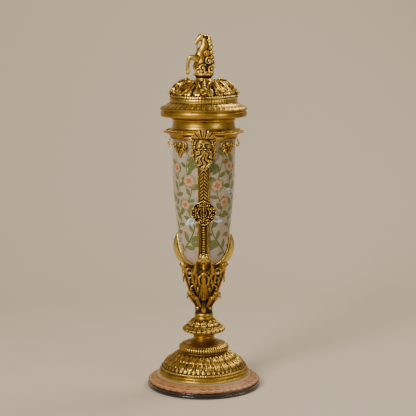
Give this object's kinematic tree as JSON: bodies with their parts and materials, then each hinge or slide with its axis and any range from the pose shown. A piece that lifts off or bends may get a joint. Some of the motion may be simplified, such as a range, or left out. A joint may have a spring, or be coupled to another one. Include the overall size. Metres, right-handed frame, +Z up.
{
  "type": "covered standing cup",
  "caption": "Tall covered standing cup: a painted porcelain beaker in gilt bronze mounts, with masks, a stem of winged figures, a domed lid and a rearing horse finial.",
  "frame": {"origin": "middle of the plinth's underside, on the surface that the cup stands on", "axes": "+Z up along the cup's axis; -Y is the front, towards the viewer; +X is the viewer's right"},
  "size_m": [0.2, 0.2, 0.6202],
  "materials": {
    "black_lacquer": "black lacquered wood, glossy, slightly worn at the edge",
    "glazed_border_porcelain": "glazed porcelain with a painted terracotta border and a grey-green inner ring",
    "gilt_bronze": "cast and chased bronze, fire gilt, burnished on the ridges and brown in the recesses",
    "painted_porcelain": "glazed porcelain painted with flowers, leaves and birds on a warm grey ground"
  },
  "bodies": {
    "root": {"plinth": "black_lacquer", "foot_plate": "glazed_border_porcelain", "foot": "gilt_bronze", "knop": "gilt_bronze", "stem_of_winged_figures": "gilt_bronze", "calyx": "gilt_bronze", "beaker": "painted_porcelain", "collar": "gilt_bronze", "mask_strap_front": "gilt_bronze", "mask_strap_back": "gilt_bronze", "grape_mount_front_right": "gilt_bronze", "grape_mount_back_right": "gilt_bronze", "grape_mount_back_left": "gilt_bronze", "grape_mount_front_left": "gilt_bronze", "side_scroll_right": "gilt_bronze", "side_scroll_left": "gilt_bronze", "lid": "gilt_bronze", "finial": "gilt_bronze"}
  },
  "joints": []
}
